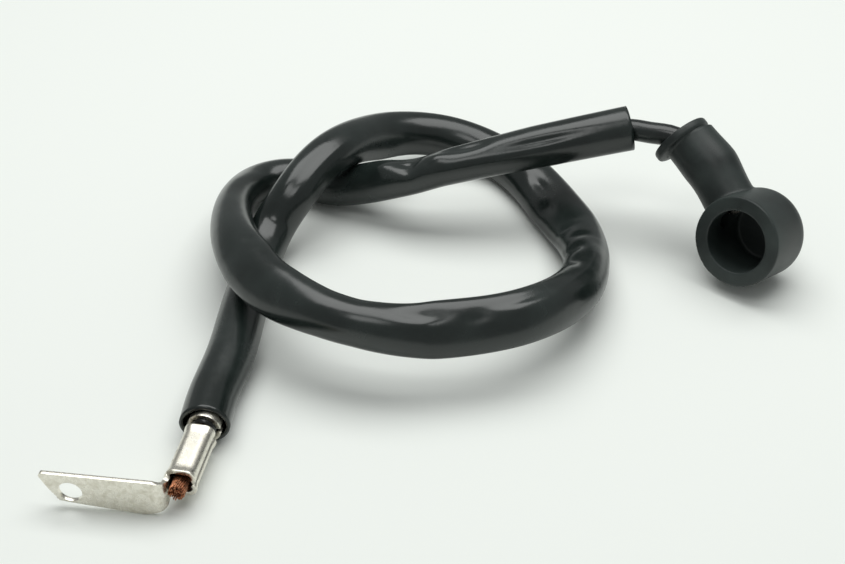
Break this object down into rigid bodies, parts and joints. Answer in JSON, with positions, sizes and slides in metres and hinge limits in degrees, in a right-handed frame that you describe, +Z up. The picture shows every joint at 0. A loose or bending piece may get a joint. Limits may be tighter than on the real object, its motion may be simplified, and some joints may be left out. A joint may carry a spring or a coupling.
{
  "type": "electrical lead with boot",
  "caption": "Black sleeved lead tied in a loose overhand knot, with a bent bolt lug at one end and a rubber elbow boot over a ring terminal at the other.",
  "frame": {"origin": "middle of the footprint of the lug, the ring terminal and the boot, on the surface that the lead lies on", "axes": "+Z up, +X from the bolt lug towards the boot, +Y away from the end of the lug's barrel, into the knot"},
  "size_m": [0.2123, 0.1711, 0.041],
  "materials": {
    "tinned_copper": "dull tin plating on pressed copper sheet",
    "bare_copper": "bright drawn copper wire",
    "wire_pvc": "satin extruded PVC",
    "sleeve_pvc": "glossy soft PVC, softly creased",
    "boot_rubber": "satin moulded rubber"
  },
  "bodies": {
    "lead": {"lug": "tinned_copper", "ring_terminal": "tinned_copper", "conductor_bunch_1": "bare_copper", "conductor_bunch_2": "bare_copper", "conductor_bunch_3": "bare_copper", "conductor_bunch_4": "bare_copper", "conductor_bunch_5": "bare_copper", "conductor_bunch_6": "bare_copper", "conductor_bunch_7": "bare_copper", "wire_insulation": "wire_pvc", "sleeve": "sleeve_pvc"},
    "boot": {"boot": "boot_rubber"}
  },
  "joints": [
    {"name": "boot_twist", "type": "hinge", "parent": "lead", "child": "boot", "pos_m": [0.0921, 0.0349, 0.01428], "axis": [-0.5589, 0.6769, 0.4789], "continuous": true}
  ]
}
